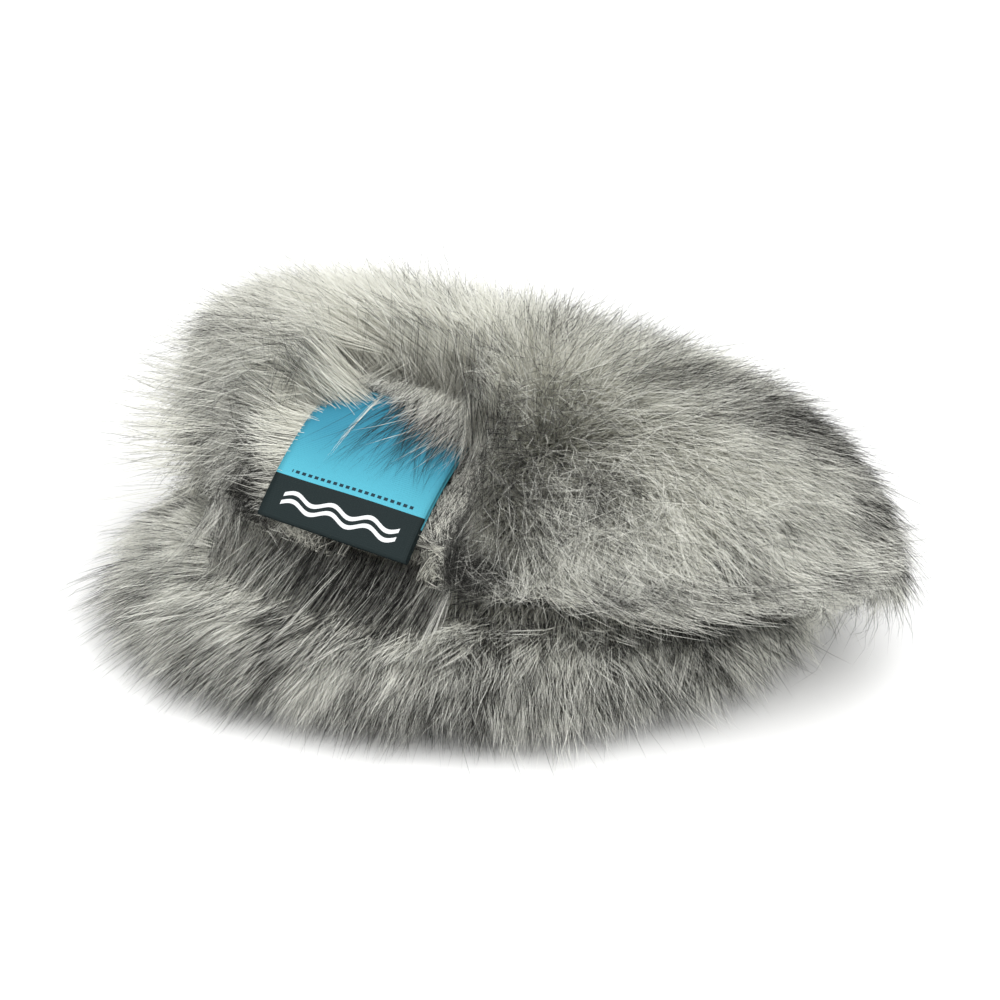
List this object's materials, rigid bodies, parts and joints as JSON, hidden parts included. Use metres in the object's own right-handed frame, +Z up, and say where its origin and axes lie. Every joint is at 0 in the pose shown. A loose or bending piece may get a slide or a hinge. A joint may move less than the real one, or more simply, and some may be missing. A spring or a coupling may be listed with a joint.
{
  "type": "furry windscreen",
  "caption": "Long-pile fur slip-on wind cover for a microphone windshield, lying flat with its elastic mouth at the front and a folded woven label over the upper lip.",
  "frame": {"origin": "centre of the footprint, on the surface that the cover lies on", "axes": "+X to the right along the mouth, +Y into the bag, +Z up"},
  "size_m": [0.2151, 0.1462, 0.0927],
  "materials": {
    "fur": "long synthetic pile, light grey hair with dark grey tips",
    "knit": "knitted mesh backing, matt",
    "hem_binding": "turned-in knit, matt",
    "elastic": "braided flat elastic",
    "thread": "polyester thread",
    "woven_label": "satin-woven tape, blue with a dark band"
  },
  "bodies": {
    "lower_half": {"lower_backing": "knit", "lower_pile": "fur", "lower_hem_casing": "hem_binding", "lower_hem_elastic": "elastic", "lower_hem_stitching": "thread", "seam_allowance": "knit", "seam_thread": "thread", "left_bar_tack": "thread", "right_bar_tack": "thread"},
    "upper_half": {"upper_backing": "knit", "upper_pile": "fur", "upper_hem_casing": "hem_binding", "upper_hem_elastic": "elastic", "upper_hem_stitching": "thread"},
    "label": {"label_tape": "woven_label", "label_stitching": "thread"}
  },
  "joints": [
    {"name": "mouth_open", "type": "hinge", "parent": "lower_half", "child": "upper_half", "pos_m": [-0.0016, 0.059, 0.032], "axis": [-1, 0, 0], "range_deg": [0, 25]},
    {"name": "label_flip", "type": "hinge", "parent": "upper_half", "child": "label", "pos_m": [-0.0302, 0.0064, 0.0602], "axis": [-0.9724, 0.2334, 0], "range_deg": [0, 40]}
  ]
}
